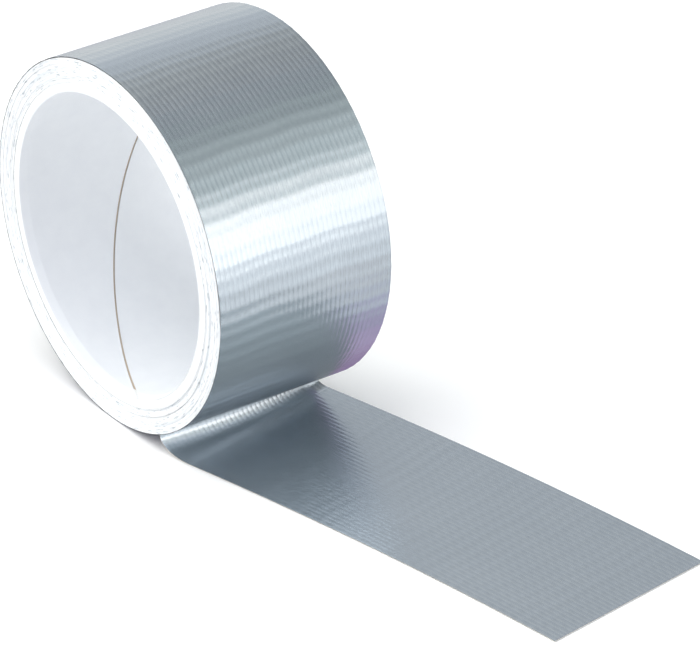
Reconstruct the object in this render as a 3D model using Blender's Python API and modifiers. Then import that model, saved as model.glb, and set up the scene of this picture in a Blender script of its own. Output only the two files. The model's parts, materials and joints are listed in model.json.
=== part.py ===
"""Duct tape roll standing on its rim, with a short length of tape paid out in front of it.

The roll is a spiral-wound paperboard core (liner, board plies, outer ply) that carries the wound
tape.  The tape is a laminate of three layers: a silver polyethylene backing film, a cloth scrim and
a rubber adhesive.  It leaves the roll low on the +X side, folds back on itself in a tight crease
and lies on the surface with its silver side up.

Metres, +Z up.  The roll's axis is parallel to Y.  All shapes are worked out in roll coordinates
(X = 0 and Y = 0 at the middle of the roll, Z = 0 at the surface it stands on); one empty then moves
the whole object so that the origin is under the middle of its bounding box.
"""
from math import cos, pi, radians, sin, sqrt

import bmesh
import bpy
from mathutils import Vector

# Tape
TAPE_WIDTH = 0.050
BACKING_THICKNESS = 0.00006
SCRIM_THICKNESS = 0.00004
ADHESIVE_THICKNESS = 0.00006
LAYER_GAP = 0.00001             # bond line between two layers of the laminate
TAPE_THICKNESS = BACKING_THICKNESS + SCRIM_THICKNESS + ADHESIVE_THICKNESS + 2 * LAYER_GAP

# Roll
ROLL_RADIUS = 0.0475
BORE_RADIUS = 0.0381            # 76.2 mm core, the usual 3 inch bore
LINER_THICKNESS = 0.0002
BOARD_THICKNESS = 0.00063
BOARD_PLIES = 4
OUTER_PLY_THICKNESS = 0.0002
PLY_GAP = 0.00002               # glue line between two plies of the core
ROLL_SEGMENTS = 64              # flats round the roll; one of them stands on the surface
FLAT_TO_CORNER = 1 / cos(pi / ROLL_SEGMENTS)

# Seam of the spiral-wound liner
SEAM_PITCH = 0.110              # travel along the core for one turn of the seam
SEAM_WIDTH = 0.0012
SEAM_MIDDLE_ANGLE = radians(207)    # where the seam crosses the middle of the core, from +X to +Z
SEAM_POINTS = 48

# Crease where the tape leaves the roll
CREASE_NEAR_X = 0.0212          # X of the crease at the tape's near edge
CREASE_SWEEP = 0.0052           # the crease's far end lies this much nearer the roll's foot
CREASE_BOW = 2.5                # power of the curve that the crease follows
CREASE_CLEARANCE = 0.0003       # between the turning roll and the crease
CREASE_PULL = 0.55              # how steeply the tape drops, as a share of its height
CREASE_LEAN = 0.12              # X that it leans back for each metre that it drops
LANDING_PULL = 0.60             # how flat the tape lands, as a share of its reach
FAR_REACH = 0.0030              # from the crease to where the far edge is down
NEAR_EXTRA_REACH = 0.0060       # how much further the near edge goes
REACH_BOW = 2.8                 # power of the curve that the reach follows
BEND_ROWS = 16

# Paid-out strip: an arc of a large circle, so it swings back slightly towards +X
STRIP_HEADING = radians(15)
CAMBER_RADIUS = 1.0
STRIP_LENGTH = 0.1262
LIFT_AT = 0.040                 # strip length at each joint
SLIDE_AT = 0.068
CURL_AT = 0.100
SPLIT_GAP = 0.0003
FLAT_ROW_LENGTH = 0.010
CREASE_FLAT_ROWS = 3
WIDTH_CELLS = 8

SILVER = (0.50, 0.54, 0.57, 1.0)
GAUZE = (0.80, 0.79, 0.74, 1.0)
GLUE = (0.74, 0.72, 0.66, 1.0)
WHITE_PAPER = (0.90, 0.91, 0.92, 1.0)
PALE_BOARD = (0.84, 0.83, 0.80, 1.0)
WOUND_EDGE = (0.82, 0.84, 0.86, 1.0)


def clear_scene():
    for obj in list(bpy.data.objects):
        bpy.data.objects.remove(obj, do_unlink=True)


def new_collection(name):
    collection = bpy.data.collections.new(name)
    bpy.context.scene.collection.children.link(collection)
    return collection


def new_material(name, colour, roughness, metallic=0.0):
    material = bpy.data.materials.new(name)
    material.use_nodes = True
    shader = material.node_tree.nodes["Principled BSDF"]
    shader.inputs["Base Color"].default_value = colour
    shader.inputs["Roughness"].default_value = roughness
    shader.inputs["Metallic"].default_value = metallic
    return material


def new_pivot(name, collection, parent, place):
    """An empty at a joint; place is in its parent's coordinates."""
    pivot = bpy.data.objects.new(name, None)
    pivot.empty_display_size = 0.01
    pivot.parent = parent
    pivot.location = place
    collection.objects.link(pivot)
    return pivot


def new_object(name, mesh, collection, parent, material):
    mesh.materials.clear()
    mesh.materials.append(material)
    obj = bpy.data.objects.new(name, mesh)
    obj.parent = parent
    collection.objects.link(obj)
    return obj


# The roll

def add_tube(name, inner, outer, collection, parent, material):
    """One concentric ring of the roll, turned about the parent's Y axis.

    Radii are measured to the middle of the flats.
    """
    half = TAPE_WIDTH / 2
    corner = pi / ROLL_SEGMENTS
    outline = [(outer, half), (outer, -half), (inner, -half), (inner, half)]
    points = []
    for radius, along in outline:
        reach = radius * FLAT_TO_CORNER
        points.append((reach * cos(corner), reach * sin(corner), along))
    mesh = bpy.data.meshes.new(name)
    mesh.from_pydata(points, [(0, 1), (1, 2), (2, 3), (3, 0)], [])
    tube = new_object(name, mesh, collection, parent, material)
    tube.rotation_euler = (-pi / 2, 0, 0)
    screw = tube.modifiers.new("turn", "SCREW")
    screw.axis = 'Z'
    screw.angle = 2 * pi
    screw.steps = ROLL_SEGMENTS
    screw.render_steps = ROLL_SEGMENTS
    screw.use_merge_vertices = True
    screw.merge_threshold = 0.000001
    screw.use_smooth_shade = True
    return tube


def seam_cutter(collection, parent):
    """A thin helical bar that parts the liner along its butt seam."""
    curve = bpy.data.curves.new("seam_path", 'CURVE')
    curve.dimensions = '3D'
    curve.bevel_depth = SEAM_WIDTH / 2
    curve.bevel_resolution = 1
    curve.use_fill_caps = True
    spline = curve.splines.new('POLY')
    spline.points.add(SEAM_POINTS - 1)
    radius = BORE_RADIUS + LINER_THICKNESS / 2
    reach = TAPE_WIDTH / 2 + 0.002
    for index, point in enumerate(spline.points):
        along = reach * (2 * index / (SEAM_POINTS - 1) - 1)
        angle = SEAM_MIDDLE_ANGLE - 2 * pi * along / SEAM_PITCH
        point.co = (radius * cos(angle), along, radius * sin(angle), 1)
    path = bpy.data.objects.new("seam_path", curve)
    path.parent = parent
    collection.objects.link(path)

    bpy.context.view_layer.update()
    evaluated = path.evaluated_get(bpy.context.evaluated_depsgraph_get())
    mesh = bpy.data.meshes.new_from_object(evaluated)
    bm = bmesh.new()
    bm.from_mesh(mesh)
    bmesh.ops.remove_doubles(bm, verts=bm.verts, dist=0.000001)
    bmesh.ops.recalc_face_normals(bm, faces=bm.faces)
    bm.to_mesh(mesh)
    bm.free()
    cutter = bpy.data.objects.new("seam_cutter", mesh)
    cutter.matrix_world = path.matrix_world.copy()
    cutter.hide_render = True
    cutter.display_type = 'WIRE'
    collection.objects.link(cutter)
    bpy.data.objects.remove(path, do_unlink=True)
    return cutter


def add_core(collection, cutters, pivot):
    """Liner, board plies and outer ply, from the bore outwards; returns the core's outer radius."""
    board = new_material("pale_board", PALE_BOARD, 0.85)
    inner = BORE_RADIUS
    liner = add_tube("core_liner", inner, inner + LINER_THICKNESS, collection, pivot,
                     new_material("white_liner_paper", WHITE_PAPER, 0.55))
    cut = liner.modifiers.new("butt_seam", "BOOLEAN")
    cut.operation = 'DIFFERENCE'
    cut.solver = 'EXACT'
    cut.object = seam_cutter(cutters, pivot)
    inner += LINER_THICKNESS + PLY_GAP
    for number in range(1, BOARD_PLIES + 1):
        add_tube("core_board_ply_%d" % number, inner, inner + BOARD_THICKNESS,
                 collection, pivot, board)
        inner += BOARD_THICKNESS + PLY_GAP
    add_tube("core_outer_ply", inner, inner + OUTER_PLY_THICKNESS, collection, pivot,
             new_material("outer_ply_paper", WHITE_PAPER, 0.7))
    return inner + OUTER_PLY_THICKNESS


def add_wound_tape(core_radius, collection, pivot, layers):
    """The wound turns as one ring, then the last turn as its own three layers."""
    last_turn = ROLL_RADIUS - TAPE_THICKNESS
    add_tube("wound_turns", core_radius + PLY_GAP, last_turn - LAYER_GAP, collection, pivot,
             new_material("wound_tape_edge", WOUND_EDGE, 0.5))
    middle = ROLL_RADIUS - TAPE_THICKNESS / 2
    for layer, low, high, material in layers:
        add_tube("last_turn_" + layer, middle + low, middle + high, collection, pivot, material)


# The paid-out tape

def heading(length):
    """Direction of the strip, from +X towards +Y, at a length along its near edge."""
    return STRIP_HEADING - length / CAMBER_RADIUS


def strip_point(length, across, height=TAPE_THICKNESS / 2):
    """A point of the flat strip: length along it, and across from its near edge."""
    start = heading(0)
    now = heading(length)
    x = CREASE_NEAR_X + CAMBER_RADIUS * (sin(start) - sin(now))
    y = -TAPE_WIDTH / 2 + CAMBER_RADIUS * (cos(now) - cos(start))
    return Vector((x - across * sin(now), y + across * cos(now), height))


def crease_x(across):
    """X of the crease at a distance across the tape from its near edge."""
    return CREASE_NEAR_X - CREASE_SWEEP * (across / TAPE_WIDTH) ** CREASE_BOW


def bend_reach(across):
    """How far the tape runs, from the crease, until it is down on the surface."""
    return FAR_REACH + NEAR_EXTRA_REACH * (1 - across / TAPE_WIDTH) ** REACH_BOW


def landing(across):
    """Strip length at which the tape is down on the surface."""
    ahead = bend_reach(across) + crease_x(across) - CREASE_NEAR_X + across * sin(STRIP_HEADING)
    return ahead / cos(STRIP_HEADING)


def bend_point(share, across):
    """A point of the crease: a cubic Bezier from the roll's surface down to the flat strip."""
    x = crease_x(across)
    down = sqrt(ROLL_RADIUS ** 2 - x ** 2)
    outward = Vector((x, 0, -down)) / ROLL_RADIUS
    middle = Vector((0, across - TAPE_WIDTH / 2, ROLL_RADIUS))
    start = middle + outward * (ROLL_RADIUS + CREASE_CLEARANCE + TAPE_THICKNESS / 2)
    end = strip_point(landing(across), across)
    direction = heading(landing(across))
    forward = Vector((cos(direction), sin(direction), 0))
    leave = start - Vector((CREASE_LEAN, 0, 1)) * CREASE_PULL * start.z
    land = end - forward * LANDING_PULL * bend_reach(across)
    rest = 1 - share
    return (start * rest ** 3 + leave * 3 * rest ** 2 * share
            + land * 3 * rest * share ** 2 + end * share ** 3)


def crease_sheet_point(row, across):
    """Row 0 is on the roll, row BEND_ROWS is down on the surface, and flat rows follow."""
    if row <= BEND_ROWS:
        return bend_point(row / BEND_ROWS, across)
    start = landing(across)
    end = LIFT_AT - SPLIT_GAP / 2
    return strip_point(start + (end - start) * (row - BEND_ROWS) / CREASE_FLAT_ROWS, across)


def row_count(start, end):
    return max(2, round((end - start) / FLAT_ROW_LENGTH))


def add_strip(prefix, rows, point, collection, pivot, pivot_place, layers):
    """The laminate over one length of tape: three layers solidified from one middle surface."""
    bm = bmesh.new()
    bmesh.ops.create_grid(bm, x_segments=rows, y_segments=WIDTH_CELLS, size=1)
    for vert in bm.verts:
        row = round((vert.co.x + 1) / 2 * rows)
        across = (vert.co.y + 1) / 2 * TAPE_WIDTH
        vert.co = point(row, across) - pivot_place
    sheet = bpy.data.meshes.new(prefix + "_middle")
    bm.to_mesh(sheet)
    bm.free()
    for layer, low, high, material in layers:
        name = prefix + "_" + layer
        obj = new_object(name, sheet.copy(), collection, pivot, material)
        obj.data.name = name
        solidify = obj.modifiers.new("layer", "SOLIDIFY")
        solidify.thickness = high - low
        solidify.offset = 1 + 2 * low / (high - low)
        solidify.use_even_offset = False


def add_flat_strip(prefix, start, end, collection, pivot, pivot_place, layers):
    rows = row_count(start, end)

    def point(row, across):
        return strip_point(start + (end - start) * row / rows, across)

    add_strip(prefix, rows, point, collection, pivot, pivot_place, layers)


def laminate_layers():
    """Name, lowest and highest offset from the tape's middle surface, and material."""
    low = -TAPE_THICKNESS / 2
    rows = []
    for layer, thickness, colour, roughness, metallic in (
            ("adhesive", ADHESIVE_THICKNESS, GLUE, 0.35, 0.0),
            ("scrim", SCRIM_THICKNESS, GAUZE, 0.9, 0.0),
            ("backing", BACKING_THICKNESS, SILVER, 0.32, 0.35)):
        material = new_material("tape_" + layer, colour, roughness, metallic)
        rows.append((layer, low, low + thickness, material))
        low += thickness + LAYER_GAP
    return rows


def origin_shift():
    """From roll coordinates to an origin under the middle of the bounding box."""
    far_x = strip_point(STRIP_LENGTH, 0).x
    far_y = strip_point(STRIP_LENGTH, TAPE_WIDTH).y
    return Vector(((ROLL_RADIUS - far_x) / 2, (TAPE_WIDTH / 2 - far_y) / 2, 0))


def hinge_place(length):
    """Middle of the strip at a length, on its silver face, where a fold line turns."""
    return strip_point(length, TAPE_WIDTH / 2, TAPE_THICKNESS)


def main():
    clear_scene()
    parts = new_collection("duct_tape_roll")
    cutters = new_collection("cutters")
    layers = laminate_layers()

    frame = new_pivot("object_frame", parts, None, origin_shift())
    roll_axis = Vector((0, 0, ROLL_RADIUS))
    unwind = new_pivot("unwind_axis", parts, frame, roll_axis)
    lift = new_pivot("tail_lift_axis", parts, frame, hinge_place(LIFT_AT))
    slide = new_pivot("pay_out_slide", parts, lift, hinge_place(SLIDE_AT) - hinge_place(LIFT_AT))
    curl = new_pivot("end_curl_axis", parts, slide, hinge_place(CURL_AT) - hinge_place(SLIDE_AT))

    core_radius = add_core(parts, cutters, unwind)
    add_wound_tape(core_radius, parts, unwind, layers)

    half_gap = SPLIT_GAP / 2
    add_strip("crease", BEND_ROWS + CREASE_FLAT_ROWS, crease_sheet_point,
              parts, frame, Vector(), layers)
    add_flat_strip("tail", LIFT_AT + half_gap, SLIDE_AT - half_gap,
                   parts, lift, hinge_place(LIFT_AT), layers)
    add_flat_strip("pulled", SLIDE_AT + half_gap, CURL_AT - half_gap,
                   parts, slide, hinge_place(SLIDE_AT), layers)
    add_flat_strip("free_end", CURL_AT + half_gap, STRIP_LENGTH,
                   parts, curl, hinge_place(CURL_AT), layers)


main()
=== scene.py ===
"""Duct tape roll: the looks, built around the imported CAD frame. Metres, +Z up."""
import json
import math
from math import cos, pi, radians, sin

import bpy
import numpy as np
from mathutils import Matrix, Vector


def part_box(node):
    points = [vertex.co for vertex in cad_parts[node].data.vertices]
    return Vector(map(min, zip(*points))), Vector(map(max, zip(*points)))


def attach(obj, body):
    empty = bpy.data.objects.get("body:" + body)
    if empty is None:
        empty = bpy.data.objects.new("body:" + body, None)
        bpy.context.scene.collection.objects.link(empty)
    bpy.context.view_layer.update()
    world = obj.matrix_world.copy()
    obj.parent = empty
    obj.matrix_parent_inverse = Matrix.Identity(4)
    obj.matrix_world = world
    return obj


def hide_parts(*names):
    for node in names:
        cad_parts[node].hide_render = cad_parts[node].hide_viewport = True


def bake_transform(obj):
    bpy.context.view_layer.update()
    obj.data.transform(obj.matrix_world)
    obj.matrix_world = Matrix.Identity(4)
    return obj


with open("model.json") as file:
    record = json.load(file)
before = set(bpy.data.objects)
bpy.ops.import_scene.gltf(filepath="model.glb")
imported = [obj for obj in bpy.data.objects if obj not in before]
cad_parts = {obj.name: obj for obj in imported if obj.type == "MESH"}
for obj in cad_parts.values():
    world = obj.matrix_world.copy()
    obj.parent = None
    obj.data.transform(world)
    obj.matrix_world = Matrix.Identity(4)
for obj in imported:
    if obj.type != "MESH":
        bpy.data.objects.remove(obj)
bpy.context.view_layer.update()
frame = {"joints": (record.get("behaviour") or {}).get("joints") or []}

# ---------------------------------------------------------------- sizes taken from the frame
joints = {joint["name"]: joint for joint in frame["joints"]}
ROLL_AXIS = np.array(joints["unwind"]["pos_m"])
ROLL_RADIUS = ROLL_AXIS[2]
near_corner, far_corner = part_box("last_turn_backing")
NEAR_Y = near_corner.y
TAPE_WIDTH = far_corner.y - near_corner.y
LINER_OUTER = (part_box("core_liner")[1].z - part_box("core_liner")[0].z) / 2
CORE_OUTER = (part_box("core_outer_ply")[1].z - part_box("core_outer_ply")[0].z) / 2

# ---------------------------------------------------------------- the tape, as in the CAD model
TAPE_THICKNESS = 0.00018
LINER_THICKNESS = 0.0002
BOARD_PLIES = 4
OUTER_PLY_THICKNESS = 0.0002
CREASE_NEAR_X = 0.0212          # the crease's near end, from the roll's foot
CREASE_SWEEP = 0.0052           # the crease's far end lies this much nearer the roll's foot
CREASE_BOW = 2.5                # the power of the sweep: all of it is near the far end
CREASE_SINK = 0.0001            # the tape starts this far inside the roll's surface
CREASE_PULL = 0.55              # how steeply the tape drops, as a share of its height
CREASE_LEAN = 0.12              # how far it leans in under the roll as it drops
LANDING_PULL = 0.60             # how flat the tape lands, as a share of its reach
STRIP_HEADING = radians(15)     # the strip's heading at the crease, from the roll's plane
FAR_REACH = 0.0030              # how far the tape runs from the crease until it is down
NEAR_EXTRA_REACH = 0.0060       # how much further the near edge goes
REACH_BOW = 2.8
BEND_END = 0.0118               # the strip is flat from here on
CAMBER_RADIUS = 1.0             # the strip curves back sideways on this radius
STRIP_LENGTH = 0.1262
SEAM_PITCH = 0.110              # length of the core over which the liner's seam goes round once
SEAM_MIDDLE_ANGLE = radians(207)

# ---------------------------------------------------------------- surface detail
WARP_THREADS = 36               # ribs along the tape, one over each warp thread of the cloth
WARP_PITCH = TAPE_WIDTH / WARP_THREADS
WEFT_PITCH = 0.0036             # soft bands across the tape, one over each weft thread
RIB_HEIGHT = 0.000007
VALLEY_DEPTH = 0.000014
VALLEY_WIDTH = 0.00020
WEAVE_HEIGHT = 0.000007         # every other rib is up where its neighbours are down
BAND_HEIGHT = 0.000070
BAND_WIDTH = 0.0011
LAID_BANDS = 0.25               # the bands are this much lower on the tape that was pulled off
RIB_SAMPLES = 8                 # mesh columns per rib
FILM_THICKNESS = 0.00006
GROOVE_DEPTH = 0.00006
CRUSH_DEPTH = 0.0021            # the cut leaves the bore's edges pressed out and ragged
CRUSH_OUT = 0.00058
CRUSH_ZONE = CRUSH_DEPTH * 1.5  # the deepest that the ragged edge reaches
CUT_WAVE = 0.00003              # how uneven the cut ends of the board are
PLY_GAP = 0.00002
SEAM_GAP = 0.00125
SEAM_GAP_WAVE = 0.00012
SEAM_LIFT = 0.00005             # the liner's edges curl up beside the seam
TURNS = 36
TURN_SEGMENTS = 192
ADHESIVE_TOP = 0.000018         # heights from the middle of the tape
ADHESIVE_BOTTOM = -0.000075
FILM_BOTTOM = 0.00002
WARP_LOW, WARP_HIGH = -0.000084, -0.00002
WEFT_LOW, WEFT_HIGH = -0.000088, -0.00003
WARP_HALF_WIDTH = 0.00014
WEFT_HALF_WIDTH = 0.00017
WEFT_INSET = 0.00005            # the weft threads end this far inside the tape's edges
BEND_FLAT = 0.2                 # the last share of the bend's rows lies flat already
BEND_ROWS = 70                  # mesh rows in the bend, and row lengths along the strip
FILM_ROW = 0.00055
ADHESIVE_ROW = 0.0012
THREAD_ROW = 0.0018


def wobble(angle, seed, terms=5):
    """A smooth random-looking function of an angle, from -1 to 1, the same each run."""
    rng = np.random.default_rng(seed)
    total = np.zeros_like(angle, dtype=float)
    weight = 0.0
    for order in range(1, terms + 1):
        size = 1 / order
        total += size * np.sin(order * angle + rng.uniform(0, 2 * pi))
        weight += size
    return total / weight


# ---------------------------------------------------------------- mesh helpers

def mesh_object(name, points, faces, body=None, smooth_angle=40):
    """A smooth-shaded mesh with its sharp edges kept, which rides on body where one is given."""
    mesh = bpy.data.meshes.new(name)
    mesh.from_pydata(points.reshape(-1, 3).tolist(), [], faces.tolist())
    mesh.validate()
    mesh.shade_smooth()
    mesh.set_sharp_from_angle(angle=radians(smooth_angle))
    obj = bpy.data.objects.new(name, mesh)
    bpy.context.scene.collection.objects.link(obj)
    if body:
        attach(obj, body)
    return obj


def grid_faces(rows, columns, first=0, flip=False, wrap_rows=False, wrap_columns=False):
    """Quads of a rows by columns grid of points, whose numbers start at first."""
    r = np.arange(rows if wrap_rows else rows - 1)
    c = np.arange(columns if wrap_columns else columns - 1)
    r, c = np.meshgrid(r, c, indexing="ij")
    r2, c2 = (r + 1) % rows, (c + 1) % columns
    quads = np.stack([r * columns + c, r2 * columns + c, r2 * columns + c2, r * columns + c2], -1)
    quads = quads.reshape(-1, 4) + first
    return quads[:, ::-1] if flip else quads


def closed_sheet(top, bottom):
    """Points and faces of the solid between two grids of points, (rows, columns, 3)."""
    rows, columns = top.shape[:2]
    count = rows * columns
    ids = np.arange(count).reshape(rows, columns)
    rim = np.concatenate([ids[0, :-1], ids[:-1, -1], ids[-1, :0:-1], ids[:0:-1, 0]])
    following = np.roll(rim, -1)
    walls = np.stack([rim, rim + count, following + count, following], -1)
    points = np.concatenate([top.reshape(-1, 3), bottom.reshape(-1, 3)])
    faces = np.concatenate([grid_faces(rows, columns),
                            grid_faces(rows, columns, count, flip=True), walls[:, ::-1]])
    return points, faces


def around_roll(angle, radius, along):
    """Points at an angle from +X towards +Z, a radius, and a place along the roll's axis."""
    return np.stack([ROLL_AXIS[0] + radius * np.cos(angle),
                     ROLL_AXIS[1] + along + 0 * angle,
                     ROLL_AXIS[2] + radius * np.sin(angle)], -1)


# ---------------------------------------------------------------- materials

def new_material(name, colour, roughness, metallic=0.0):
    """A material with its node tree and its Principled shader."""
    material = bpy.data.materials.new(name)
    material.use_nodes = True
    shader = material.node_tree.nodes["Principled BSDF"]
    shader.inputs["Base Color"].default_value = (*colour, 1)
    shader.inputs["Roughness"].default_value = roughness
    shader.inputs["Metallic"].default_value = metallic
    return material, material.node_tree, shader


def node(tree, kind, values=None, **settings):
    """A new node; values are for its input sockets and settings for its own properties."""
    made = tree.nodes.new(kind)
    for key, value in settings.items():
        setattr(made, key, value)
    for key, value in (values or {}).items():
        made.inputs[key].default_value = value
    return made


def object_coordinates(tree):
    return node(tree, "ShaderNodeTexCoord").outputs["Object"]


def noise(tree, vector, scale, detail=3.0, roughness=0.5):
    made = node(tree, "ShaderNodeTexNoise", {"Scale": scale, "Detail": detail,
                                             "Roughness": roughness})
    tree.links.new(vector, made.inputs["Vector"])
    return made.outputs["Fac"]


def ramp(tree, factor, stops):
    """stops: (position, colour) with three numbers a colour, or one for grey."""
    made = node(tree, "ShaderNodeValToRGB")
    elements = made.color_ramp.elements
    while len(elements) < len(stops):
        elements.new(0.5)
    for element, (position, colour) in zip(elements, stops):
        element.position = position
        rgb = colour if isinstance(colour, tuple) else (colour,) * 3
        element.color = (*rgb, 1)
    tree.links.new(factor, made.inputs["Fac"])
    return made.outputs["Color"]


def bump(tree, shader, height, strength, distance):
    made = node(tree, "ShaderNodeBump", {"Strength": strength, "Distance": distance})
    tree.links.new(height, made.inputs["Height"])
    tree.links.new(made.outputs["Normal"], shader.inputs["Normal"])


def backing_material():
    """Silver polyethylene film: satin, with slightly uneven tone and gloss."""
    material, tree, shader = new_material("silver_backing", (0.50, 0.545, 0.585), 0.25, 0.90)
    place = object_coordinates(tree)
    cloudy = noise(tree, place, 45, 4)
    colour = ramp(tree, cloudy, [(0.3, (0.49, 0.535, 0.575)), (0.7, (0.51, 0.555, 0.595))])
    tree.links.new(colour, shader.inputs["Base Color"])
    smear = noise(tree, place, 160, 3)
    rough = ramp(tree, smear, [(0.3, 0.22), (0.7, 0.268)])
    tree.links.new(rough, shader.inputs["Roughness"])
    return material


def adhesive_material():
    """Yellowish rubber adhesive, cloudy and a little lumpy."""
    material, tree, shader = new_material("adhesive", (0.74, 0.72, 0.66), 0.38)
    place = object_coordinates(tree)
    cloudy = noise(tree, place, 300, 4)
    tree.links.new(ramp(tree, cloudy, [(0.3, (0.70, 0.68, 0.61)), (0.7, (0.80, 0.78, 0.72))]),
                   shader.inputs["Base Color"])
    bump(tree, shader, noise(tree, place, 1500, 3), 0.4, 0.00003)
    return material


def scrim_material():
    """Undyed cotton and polyester thread."""
    material, tree, shader = new_material("gauze_thread", (0.84, 0.83, 0.78), 0.8)
    place = object_coordinates(tree)
    fibres = noise(tree, place, 4000, 2)
    tree.links.new(ramp(tree, fibres, [(0.3, (0.74, 0.72, 0.66)), (0.7, (0.9, 0.89, 0.85))]),
                   shader.inputs["Base Color"])
    bump(tree, shader, fibres, 0.5, 0.00003)
    return material


def polar(tree):
    """Radius and angle about the roll's axis, as two sockets."""
    place = object_coordinates(tree)
    shift = node(tree, "ShaderNodeVectorMath", operation='SUBTRACT')
    tree.links.new(place, shift.inputs[0])
    shift.inputs[1].default_value = tuple(ROLL_AXIS)
    parts = node(tree, "ShaderNodeSeparateXYZ")
    tree.links.new(shift.outputs[0], parts.inputs[0])
    flat = node(tree, "ShaderNodeCombineXYZ")
    tree.links.new(parts.outputs["X"], flat.inputs["X"])
    tree.links.new(parts.outputs["Z"], flat.inputs["Z"])
    length = node(tree, "ShaderNodeVectorMath", operation='LENGTH')
    tree.links.new(flat.outputs[0], length.inputs[0])
    angle = node(tree, "ShaderNodeMath", operation='ARCTAN2')
    tree.links.new(parts.outputs["Z"], angle.inputs[0])
    tree.links.new(parts.outputs["X"], angle.inputs[1])
    return length.outputs["Value"], angle.outputs["Value"]


def unrolled(tree, radius, angle, across_scale, along_scale):
    """A vector for noise that is drawn out along the layers."""
    parts = node(tree, "ShaderNodeCombineXYZ")
    for socket, value, scale in (("X", radius, across_scale), ("Y", angle, along_scale)):
        scaled = node(tree, "ShaderNodeMath", {1: scale}, operation='MULTIPLY')
        tree.links.new(value, scaled.inputs[0])
        tree.links.new(scaled.outputs[0], parts.inputs[socket])
    return parts.outputs[0]


def wound_edge_material():
    """Slit tape edges: white, with faint cool lines and short dashes that follow the layers."""
    material, tree, shader = new_material("wound_tape_edge", (0.92, 0.93, 0.94), 0.5)
    radius, angle = polar(tree)
    lines = noise(tree, unrolled(tree, radius, angle, 4200.0, 1.6), 1.0, 3, 0.6)
    faint = ramp(tree, lines, [(0.30, (0.80, 0.845, 0.88)), (0.50, (0.945, 0.95, 0.955))])
    dashes = noise(tree, unrolled(tree, radius, angle, 3000.0, 13.0), 1.0, 2, 0.6)
    dash = ramp(tree, dashes, [(0.34, (0.60, 0.635, 0.66)), (0.42, (0.98, 0.985, 0.99))])
    mix = node(tree, "ShaderNodeMix", data_type='RGBA', blend_type='MULTIPLY')
    mix.inputs["Factor"].default_value = 1
    tree.links.new(faint, mix.inputs["A"])
    tree.links.new(dash, mix.inputs["B"])
    tree.links.new(mix.outputs["Result"], shader.inputs["Base Color"])
    bump(tree, shader, dashes, 0.4, 0.00004)
    return material


def paper_material(name, dark, light, roughness):
    """White paper, mottled between two tones, with fine fibres."""
    material, tree, shader = new_material(name, light, roughness)
    place = object_coordinates(tree)
    mottle = noise(tree, place, 220, 5, 0.6)
    tree.links.new(ramp(tree, mottle, [(0.3, dark), (0.7, light)]), shader.inputs["Base Color"])
    fibres = noise(tree, place, 1800, 3)
    bump(tree, shader, fibres, 0.25, 0.00003)
    return material


def board_material():
    """White board; the face towards the bore is tan with glue, which shows in the seam."""
    material, tree, shader = new_material("core_board", (0.90, 0.90, 0.89), 0.85)
    place = object_coordinates(tree)
    mottle = noise(tree, place, 900, 4, 0.7)
    pale = ramp(tree, mottle, [(0.3, (0.86, 0.86, 0.85)), (0.7, (0.93, 0.93, 0.92))])
    radius, _ = polar(tree)
    stained = node(tree, "ShaderNodeMath", {1: LINER_OUTER + 0.00006}, operation='LESS_THAN')
    tree.links.new(radius, stained.inputs[0])
    mix = node(tree, "ShaderNodeMix", data_type='RGBA')
    tree.links.new(stained.outputs[0], mix.inputs["Factor"])
    tree.links.new(pale, mix.inputs["A"])
    mix.inputs["B"].default_value = (0.56, 0.46, 0.37, 1)
    tree.links.new(mix.outputs["Result"], shader.inputs["Base Color"])
    bump(tree, shader, noise(tree, place, 2200, 3), 0.4, 0.00004)
    return material


# ---------------------------------------------------------------- the roll

def rib_relief(across):
    """The film's height over the warp threads: broad low ribs with narrow valleys between."""
    share = (across / WARP_PITCH) % 1
    from_valley = np.minimum(share, 1 - share) * WARP_PITCH
    broad = -RIB_HEIGHT * np.cos(2 * pi * share)
    return broad - VALLEY_DEPTH * np.exp(-(from_valley / VALLEY_WIDTH) ** 2)


def band_relief(length, across, total, share=1.0):
    """The film's height over the weft threads: soft ridges, unevenly spaced and of uneven height,
    which lift every other rib more. They repeat after total, and share scales their height."""
    rng = np.random.default_rng(3)
    count = round(total / WEFT_PITCH)
    centres = (np.arange(count) + rng.uniform(-0.12, 0.12, count)) * total / count
    heights = BAND_HEIGHT * share * rng.uniform(0.4, 1.5, count)
    short_waves = 0.00018 * np.sin(across / 0.0031)
    long_waves = 0.00025 * np.sin(across / 0.0107 + 2)
    wavy = length + short_waves + long_waves
    relief = 0 * wavy
    for centre, height in zip(centres, heights):
        gap = (wavy - centre + total / 2) % total - total / 2
        relief = relief + height * np.exp(-(gap / BAND_WIDTH) ** 2)
    weave = np.sin(pi * across / WARP_PITCH) * np.cos(2 * pi * wavy * count / total)
    return relief + WEAVE_HEIGHT * weave


def ring_piece(name, inner, outer, body, ends, corner=0.00005, segments=360, crush=False):
    """A ring about the roll's axis. ends(angle) gives how far each end stands proud. The inner
    edges are pressed outwards where crush is set."""
    angle = np.linspace(0, 2 * pi, segments, endpoint=False)
    half = TAPE_WIDTH / 2
    near, far = -half - ends(angle), half + ends(angle + 1.7)
    profile = [(inner, near + corner), (inner + corner, near), (outer - corner, near),
               (outer, near + corner), (outer, far - corner), (outer - corner, far),
               (inner + corner, far), (inner, far - corner)]
    if crush:
        depths = CRUSH_ZONE * np.linspace(0, 1, 6)
        steps = [(inner + crushed(depth, CRUSH_ZONE), depth) for depth in depths]
        profile[-2:] = [(radius, far - depth) for radius, depth in steps]
        profile[:2] = [(radius, near + depth) for radius, depth in steps[::-1]]
    rings = [around_roll(angle, radius, along) for radius, along in profile]
    points = np.stack(rings, 1)
    faces = grid_faces(segments, len(profile), wrap_rows=True, wrap_columns=True)
    return mesh_object(name, points, faces, body)


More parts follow.
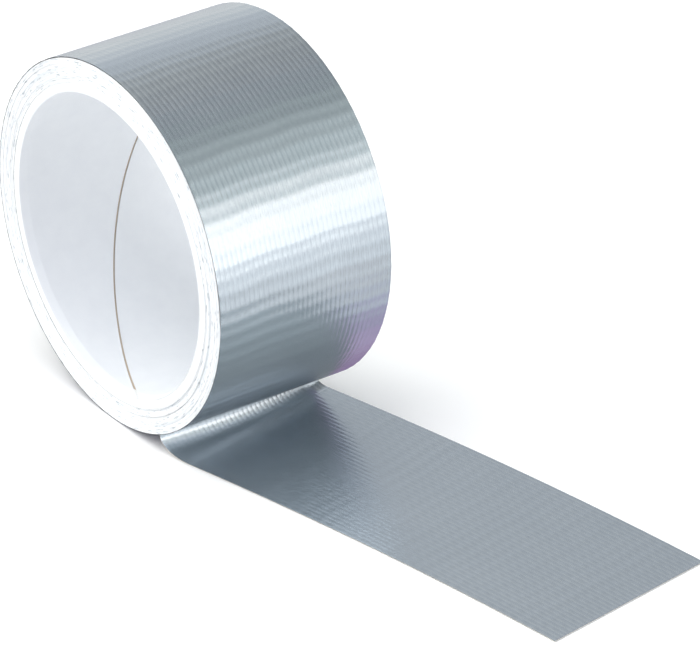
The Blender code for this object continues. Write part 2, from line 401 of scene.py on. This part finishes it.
def add_core(board, paper, outer_paper):
    """Board plies and outer ply, each with a slightly uneven cut end, and the liner."""
    plies = np.linspace(LINER_OUTER + PLY_GAP, CORE_OUTER - OUTER_PLY_THICKNESS - PLY_GAP,
                        BOARD_PLIES + 1)
    for number in range(BOARD_PLIES):
        def ends(angle, seed=number):
            every_other = seed % 2
            return CUT_WAVE * wobble(angle, seed, 9) - PLY_GAP * every_other
        ply = ring_piece("board_ply_%d" % (number + 1), plies[number] + PLY_GAP / 2,
                         plies[number + 1] - PLY_GAP / 2, "roll", ends, crush=number == 0)
        ply.data.materials.append(board)
        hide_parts("core_board_ply_%d" % (number + 1))

    def outer_ends(angle):
        return CUT_WAVE * wobble(angle, 11, 12)
    wrap = ring_piece("outer_ply", CORE_OUTER - OUTER_PLY_THICKNESS, CORE_OUTER, "roll",
                      outer_ends)
    wrap.data.materials.append(outer_paper)
    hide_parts("core_outer_ply")
    add_liner(paper)


def crushed(from_end, depth):
    """How far the cut has pressed the bore's edge outwards, at a distance from the end."""
    return CRUSH_OUT * np.clip(1 - from_end / depth, 0, 1) ** 1.15


def add_liner(paper):
    """One helical strip of white paper whose two edges meet at the butt seam."""
    columns = 721
    half = TAPE_WIDTH / 2
    near_rows = half - CRUSH_ZONE * np.linspace(0, 1, 22)
    rows = np.concatenate([-near_rows, np.linspace(-near_rows[-1], near_rows[-1], 42)[1:-1],
                           near_rows[::-1]])
    along = rows[:, None]
    turn = np.linspace(0, 1, columns)[None, :]
    seam = SEAM_MIDDLE_ANGLE - 2 * pi * along / SEAM_PITCH
    gap = (SEAM_GAP + SEAM_GAP_WAVE * np.sin(along / 0.006)) / LINER_OUTER
    angle = seam + gap / 2 + turn * (2 * pi - gap)
    edge = np.minimum(turn, 1 - turn) * 2 * pi * LINER_OUTER
    lift = SEAM_LIFT * np.exp(-(edge / 0.0006) ** 2)
    coarse, fine = wobble(angle, 21, 60), wobble(angle * 3, 22, 40)
    ragged = 1 + 0.22 * coarse + 0.15 * fine
    spread = crushed(half - np.abs(along), CRUSH_DEPTH * ragged)
    paper_in = around_roll(angle, LINER_OUTER - LINER_THICKNESS - lift + spread, along)
    paper_out = around_roll(angle, LINER_OUTER - lift + spread, along)
    points, faces = closed_sheet(paper_out, paper_in)
    liner = mesh_object("white_liner", points, faces, "roll")
    liner.data.materials.append(paper)
    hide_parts("core_liner")


SUNK_TURNS = [                  # turn, half length in turns, depth
    (1.9, 0.13, 0.00035), (3.92, 0.10, 0.0003), (5.4, 0.12, 0.00015), (8.45, 0.08, 0.0002),
    (11.92, 0.14, 0.0004), (12.95, 0.08, 0.00025), (16.4, 0.10, 0.0002), (20.42, 0.09, 0.0002),
    (24.9, 0.08, 0.00015), (27.45, 0.12, 0.0002), (31.3, 0.10, 0.00012), (33.95, 0.07, 0.00015)]


def turn_edge(total_angle):
    """How far the edge of the tape stands proud along the winding, as it wanders when wound.
    A few stretches lie sunk and show as dark arcs."""
    slow = 0.00005 * np.sin(total_angle / 9.3 + 0.8) + 0.00004 * np.sin(total_angle / 3.1)
    quick = 0.00003 * np.sin(total_angle * 1.7 + 2.0 * np.sin(total_angle / 4.4))
    edge = slow + quick
    for at, length, depth in SUNK_TURNS:
        edge = edge - depth * np.exp(-((total_angle / (2 * pi) - at) / length) ** 4)
    return edge


def add_wound_turns(material):
    """One spiral web, turn on turn, with its slit edges showing at both ends of the roll."""
    inner = CORE_OUTER + PLY_GAP
    outer = ROLL_RADIUS - FILM_THICKNESS
    pitch = (outer - inner) / TURNS
    count = TURNS * TURN_SEGMENTS + 1
    total = np.linspace(0, 2 * pi * TURNS, count)
    shares = [0.0, 0.16, 0.5, 0.84]         # of one turn's thickness; the groove is at 0
    sides = []
    for side, phase in ((-1, 0.0), (1, 40.0)):      # the two ends wander differently
        edge = TAPE_WIDTH / 2 + turn_edge((total + phase) % (2 * pi * TURNS))
        groove = edge - GROOVE_DEPTH
        columns = []
        for share in shares:
            radius = inner + pitch * (np.maximum(total / (2 * pi) - 1, 0) + share)
            radius = np.minimum(radius, outer)
            columns.append(around_roll(total, radius, side * (groove if share == 0.0 else edge)))
        sides.append(np.stack(columns, 1))
    points, faces = [], []
    width = len(shares)
    for index, grid in enumerate(sides):
        first = index * count * width
        strip = grid_faces(count, width, first, flip=index == 1)
        steps = np.arange(count - 1 - TURN_SEGMENTS)
        low = first + steps * width + width - 1
        high = first + (steps + TURN_SEGMENTS) * width
        bridge = np.stack([low, low + width, high + width, high], -1)
        faces += [strip, bridge[:, ::-1] if index == 1 else bridge]
        points.append(grid.reshape(-1, 3))
    pack = mesh_object("wound_tape", np.concatenate(points), np.concatenate(faces), "roll", 60)
    pack.data.materials.append(material)
    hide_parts("wound_turns", "last_turn_adhesive", "last_turn_scrim")


def add_outer_backing(material):
    """The silver film of the last turn, with its ribs and bands."""
    columns = WARP_THREADS * RIB_SAMPLES + 1
    rows = 500
    angle = np.linspace(0, 2 * pi, rows, endpoint=False)[:, None]
    across = np.linspace(0, TAPE_WIDTH, columns)[None, :]
    girth = 2 * pi * ROLL_RADIUS
    relief = rib_relief(across) + band_relief(angle * ROLL_RADIUS, across, girth)
    along = across - TAPE_WIDTH / 2
    outer = around_roll(angle + 0 * across, ROLL_RADIUS + relief, along)
    inner_angle = np.broadcast_to(angle, (rows, 2))
    inner = around_roll(inner_angle, ROLL_RADIUS - FILM_THICKNESS, along[:, [-1, 0]])
    grid = np.concatenate([outer, inner], 1)
    faces = grid_faces(rows, columns + 2, flip=True, wrap_rows=True, wrap_columns=True)
    film = mesh_object("outer_turn", grid, faces, "roll")
    film.data.materials.append(material)
    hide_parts("last_turn_backing")


# ---------------------------------------------------------------- the paid-out tape

def strip_plane(length, across):
    """Points on the surface: length along the strip, and across from its near edge."""
    start = STRIP_HEADING
    now = start - length / CAMBER_RADIUS
    x = ROLL_AXIS[0] + CREASE_NEAR_X + CAMBER_RADIUS * (sin(start) - np.sin(now))
    y = NEAR_Y + CAMBER_RADIUS * (np.cos(now) - cos(start))
    height = np.full_like(x + 0 * across, TAPE_THICKNESS / 2)
    return np.stack([x - across * np.sin(now), y + across * np.cos(now), height], -1)


def strip_middle(rows, across):
    """Middle surface of the tape. A row below 0 is a share of the bend, from -1 at the crease to 0
    where all is flat; a row from 0 up is a length along the strip, from BEND_END on."""
    rows = rows[:, None, None]
    far_share = across / TAPE_WIDTH
    crease_x = CREASE_NEAR_X - CREASE_SWEEP * far_share ** CREASE_BOW
    down = np.sqrt(ROLL_RADIUS ** 2 - crease_x ** 2)
    depth = 1 - CREASE_SINK / ROLL_RADIUS
    start = np.stack([ROLL_AXIS[0] + crease_x * depth, NEAR_Y + across,
                      ROLL_RADIUS - down * depth], -1)
    reach = FAR_REACH + NEAR_EXTRA_REACH * (1 - far_share) ** REACH_BOW
    skewed = across * sin(STRIP_HEADING) + crease_x - CREASE_NEAR_X
    landing = (reach + skewed) / cos(STRIP_HEADING)
    down_at = strip_plane(landing, across)
    heading = STRIP_HEADING - landing / CAMBER_RADIUS
    forward = np.stack([np.cos(heading), np.sin(heading), 0 * heading], -1)
    height = start[:, 2:]
    leave = start + np.array([-CREASE_LEAN, 0, -1]) * CREASE_PULL * height
    land = down_at - forward * LANDING_PULL * reach[:, None]
    share = np.clip((rows + 1) / (1 - BEND_FLAT), 0, 1)
    rest = 1 - share
    bend = (start * rest ** 3 + leave * 3 * rest ** 2 * share
            + land * 3 * rest * share ** 2 + down_at * share ** 3)
    on = np.clip((rows[..., 0] + BEND_FLAT) / BEND_FLAT, 0, 1)
    length = np.where(rows[..., 0] < 0, landing + (BEND_END - landing) * on, rows[..., 0])
    flat = strip_plane(length, across[None, :] + 0 * length)
    return np.where(rows < -BEND_FLAT, bend, flat)


def surface_normals(grid):
    """Unit normals of a grid of points, on the silver side."""
    along = np.gradient(grid, axis=0)
    across = np.gradient(grid, axis=1)
    normal = np.cross(along, across)
    return normal / np.linalg.norm(normal, axis=-1, keepdims=True)


def strip_rows(start, end, step):
    """Row values from start to end: the bend first where start is below 0."""
    rows = []
    if start < 0:
        rows.append(np.linspace(-1, 0, BEND_ROWS, endpoint=False))
        start = BEND_END
    count = max(2, round((end - start) / step))
    rows.append(np.linspace(start, end, count + 1))
    return np.concatenate(rows)


def row_length(rows):
    """Length along the tape of each row value, for the bands."""
    return np.where(rows < 0, BEND_END * (1 + rows), rows)


def add_strip_part(name, node_prefixes, start, end,
                   finishes):
    """One length of the laid tape as film, gauze and adhesive."""
    backing, gauze, glue = finishes
    columns = WARP_THREADS * RIB_SAMPLES + 1
    rows = strip_rows(start, end, FILM_ROW)
    across = np.linspace(0, TAPE_WIDTH, columns)
    middle = strip_middle(rows, across)
    normal = surface_normals(middle)
    length = row_length(rows)[:, None]
    bands = band_relief(length, across[None, :], 2 * STRIP_LENGTH, LAID_BANDS)
    relief = rib_relief(across[None, :]) + bands
    top = middle + normal * (TAPE_THICKNESS / 2 + relief)[..., None]
    bottom = middle + normal * FILM_BOTTOM
    points, faces = closed_sheet(top, bottom)
    film = mesh_object(name + "_film", points, faces)
    film.data.materials.append(backing)

    coarse_rows = strip_rows(start, end, ADHESIVE_ROW)
    coarse = np.linspace(0, TAPE_WIDTH, 2 * WARP_THREADS + 1)
    base = strip_middle(coarse_rows, coarse)
    up = surface_normals(base)
    points, faces = closed_sheet(base + up * ADHESIVE_TOP, base + up * ADHESIVE_BOTTOM)
    adhesive = mesh_object(name + "_adhesive", points, faces)
    adhesive.data.materials.append(glue)

    threads = add_gauze(name + "_gauze", start, end)
    threads.data.materials.append(gauze)

    for piece, layer in ((film, "backing"), (adhesive, "adhesive"), (threads, "scrim")):
        for prefix in node_prefixes:
            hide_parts(prefix + "_" + layer)
        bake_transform(piece)
    return film, adhesive, threads


def ribbon(path, up, half_width, low, high):
    """A flat thread along a path, as (n, 4, 3) points around it. half_width is a vector."""
    corners = [path + half_width + up * high, path - half_width + up * high,
               path - half_width + up * low, path + half_width + up * low]
    return np.stack(corners, 1)


def add_gauze(name, start, end):
    """The cloth in the tape: warp threads along it and weft threads across it."""
    points, faces, first = [], [], 0

    def add(section):
        nonlocal first
        count = section.shape[0]
        points.append(section.reshape(-1, 3))
        faces.append(grid_faces(count, 4, first, wrap_columns=True))
        faces.append(np.array([[first + 3, first + 2, first + 1, first]]))
        last = first + 4 * (count - 1)
        faces.append(np.array([[last, last + 1, last + 2, last + 3]]))
        first += 4 * count

    rows = strip_rows(start, end, THREAD_ROW)
    places = np.arange(WARP_PITCH / 2, TAPE_WIDTH, WARP_PITCH)
    grid = strip_middle(rows, places)
    up = surface_normals(grid)
    sideways = np.gradient(grid, axis=1)
    sideways /= np.linalg.norm(sideways, axis=-1, keepdims=True)
    for column in range(len(places)):
        add(ribbon(grid[:, column], up[:, column], sideways[:, column] * WARP_HALF_WIDTH,
                   WARP_LOW, WARP_HIGH))
    first_length = BEND_END if start < 0 else start
    lengths = np.arange(np.ceil(first_length / WEFT_PITCH) * WEFT_PITCH, end, WEFT_PITCH)
    across = np.linspace(WEFT_INSET, TAPE_WIDTH - WEFT_INSET, 40)
    for length in lengths:
        line = strip_plane(np.array([[length]]), across[None, :])[0]
        ahead = strip_plane(np.array([[length + 0.0001]]), across[None, :])[0] - line
        ahead /= np.linalg.norm(ahead, axis=-1, keepdims=True)
        upward = np.zeros_like(line)
        upward[:, 2] = 1
        add(ribbon(line, upward, -ahead * WEFT_HALF_WIDTH, WEFT_LOW, WEFT_HIGH))
    return mesh_object(name, np.concatenate(points), np.concatenate(faces), smooth_angle=50)


def add_strip(finishes):
    """Three lengths of tape, parted where both sides of the cut ride on the same body. Each has
    its start and end (-1 is the crease), its joint's bodies, and where that joint bends it."""
    parts = [
        ("laid_tape", ("crease",), -1, 0.0504, ("laid_tape", "tail"), 0.034, 0.047),
        ("drawn_tape", ("tail", "pulled"), 0.0504, 0.0936, ("tail", "pulled_tape"), 0.054, 0.091),
        ("end_tape", ("free_end",), 0.0936, STRIP_LENGTH, ("pulled_tape", "free_end"),
         0.0955, 0.1065)]
    for name, prefixes, start, end, bodies, low, high in parts:
        film, adhesive, threads = add_strip_part(name, prefixes, start, end,
                                                 finishes)


# ---------------------------------------------------------------- studio

def direction(azimuth, elevation):
    """Unit vector, azimuth from +X towards +Y, both in degrees."""
    a, e = radians(azimuth), radians(elevation)
    return Vector((cos(a) * cos(e), sin(a) * cos(e), sin(e)))


def add_softbox(name, azimuth, elevation, distance, size, power):
    """A rectangular light that faces the roll."""
    light = bpy.data.lights.new(name, 'AREA')
    light.shape = 'RECTANGLE'
    light.size, light.size_y = size
    light.energy = power
    obj = bpy.data.objects.new(name, light)
    away = direction(azimuth, elevation)
    obj.location = Vector(ROLL_AXIS) + away * distance
    obj.rotation_euler = away.to_track_quat('Z', 'Y').to_euler()
    bpy.context.scene.collection.objects.link(obj)


FLOOR_SIZE = 30
FLOOR_GAP = 0.0002              # the floor lies this far below the part
SOFTBOXES = [                   # name, azimuth, elevation, distance, size, power
    ("side_softbox", 32, 8, 0.9, (0.6, 0.30), 0.54),
    ("front_softbox", -100, 30, 1.0, (0.6, 0.6), 2.3),
    ("top_softbox", -90, 80, 1.0, (0.7, 0.7), 3.0),
    ("back_softbox", 70, 25, 1.0, (0.5, 0.5), 0.9),
    ("far_softbox", 9, 14, 0.9, (0.25, 0.6), 2.2)]
GLOWS = [                       # azimuth, elevation, half-width in degrees, colour
    (134, -45, 17, (0.21, 0.11, 0.26)),
    (90, -59, 17, (0.62, 0.48, 0.70)),
    (62, -54, 11, (0.08, 0.06, 0.16)),
    (46, -44, 10, (0.70, 0.76, 0.82)),
    (36, -29, 10, (0.88, 0.88, 0.88)),
    (32, -13, 10, (1.06, 1.13, 1.18)),
    (31, 0, 10, (0.88, 0.88, 0.88)),
    (34, 20, 9, (1.95, 1.86, 1.77)),
    (37, 32, 9, (0.42, 0.53, 0.53)),
    (48, 45, 12, (0.60, 0.66, 0.64)),
    (70, 57, 12, (0.12, 0.16, 0.14)),
    (98, 59, 14, (0.135, 0.15, 0.19)),
    (146, 22, 17, (0.22, 0.26, 0.34)),
    (149, 0, 17, (0.65, 0.64, 0.59)),
    (147, -21, 17, (0.24, 0.27, 0.34)),
    (-60, 50, 30, (0.72, 0.74, 0.90)),
    (-150, 45, 30, (2.60, 2.62, 2.45))]


def add_world(glows):
    """A dark room with soft glows, each of which halves at its half-width."""
    world = bpy.data.worlds.new("studio")
    bpy.context.scene.world = world
    world.use_nodes = True
    tree = world.node_tree
    background = tree.nodes["Background"]
    looking = node(tree, "ShaderNodeTexCoord").outputs["Generated"]
    total = None
    for azimuth, elevation, spread, colour in glows:
        facing = node(tree, "ShaderNodeVectorMath", operation='DOT_PRODUCT')
        tree.links.new(looking, facing.inputs[0])
        facing.inputs[1].default_value = direction(azimuth, elevation)
        narrow = math.log(2) / (1 - cos(radians(spread)))
        power = node(tree, "ShaderNodeMath", {1: narrow, 2: -narrow}, operation='MULTIPLY_ADD')
        tree.links.new(facing.outputs["Value"], power.inputs[0])
        glow = node(tree, "ShaderNodeMath", {0: math.e}, operation='POWER')
        tree.links.new(power.outputs[0], glow.inputs[1])
        tint = node(tree, "ShaderNodeVectorMath", {1: colour}, operation='MULTIPLY')
        tree.links.new(glow.outputs[0], tint.inputs[0])
        if total:
            both = node(tree, "ShaderNodeVectorMath", operation='ADD')
            tree.links.new(total, both.inputs[0])
            tree.links.new(tint.outputs[0], both.inputs[1])
            total = both.outputs[0]
        else:
            total = tint.outputs[0]
    tree.links.new(total, background.inputs["Color"])


def add_floor():
    """A plain pale floor, which the film doesn't mirror and which shades nothing."""
    bpy.ops.mesh.primitive_plane_add(size=FLOOR_SIZE, location=(0, 0, -FLOOR_GAP))
    floor = bpy.context.object
    floor.name = "floor"
    material, tree, shader = new_material("pale_floor", (0.97, 0.97, 0.97), 0.9)
    shader.inputs["Specular IOR Level"].default_value = 0.0
    floor.data.materials.append(material)
    floor.visible_glossy = False
    floor.visible_shadow = False


def add_camera():
    """A long lens above and to the right of the near end face."""
    azimuth, elevation, distance = radians(53.87), radians(29.37), 1.389
    aim_right, aim_down = 0.0383, 0.0255
    back = Vector((sin(azimuth) * cos(elevation), -cos(azimuth) * cos(elevation), sin(elevation)))
    right = Vector((cos(azimuth), sin(azimuth), 0))
    up = back.cross(right)
    aim = Vector(ROLL_AXIS) + right * aim_right - up * aim_down
    camera = bpy.data.cameras.new("camera")
    camera.sensor_width = 36
    camera.lens = 293.5
    camera.clip_start = 0.05
    camera.clip_end = 20
    obj = bpy.data.objects.new("camera", camera)
    turn = Matrix((right, up, back)).transposed()
    obj.matrix_world = Matrix.Translation(aim + back * distance) @ turn.to_4x4()
    bpy.context.scene.collection.objects.link(obj)
    bpy.context.scene.camera = obj


# ---------------------------------------------------------------- build

add_camera()
add_floor()
add_world(GLOWS)
for softbox in SOFTBOXES:
    add_softbox(*softbox)
bpy.context.scene.view_settings.view_transform = 'Standard'

silver = backing_material()
add_core(board_material(),
         paper_material("white_paper", (0.79, 0.81, 0.84), (0.82, 0.84, 0.865), 0.5),
         paper_material("outer_paper", (0.85, 0.86, 0.87), (0.92, 0.93, 0.93), 0.7))
add_wound_turns(wound_edge_material())
add_outer_backing(silver)
add_strip((silver, scrim_material(), adhesive_material()))
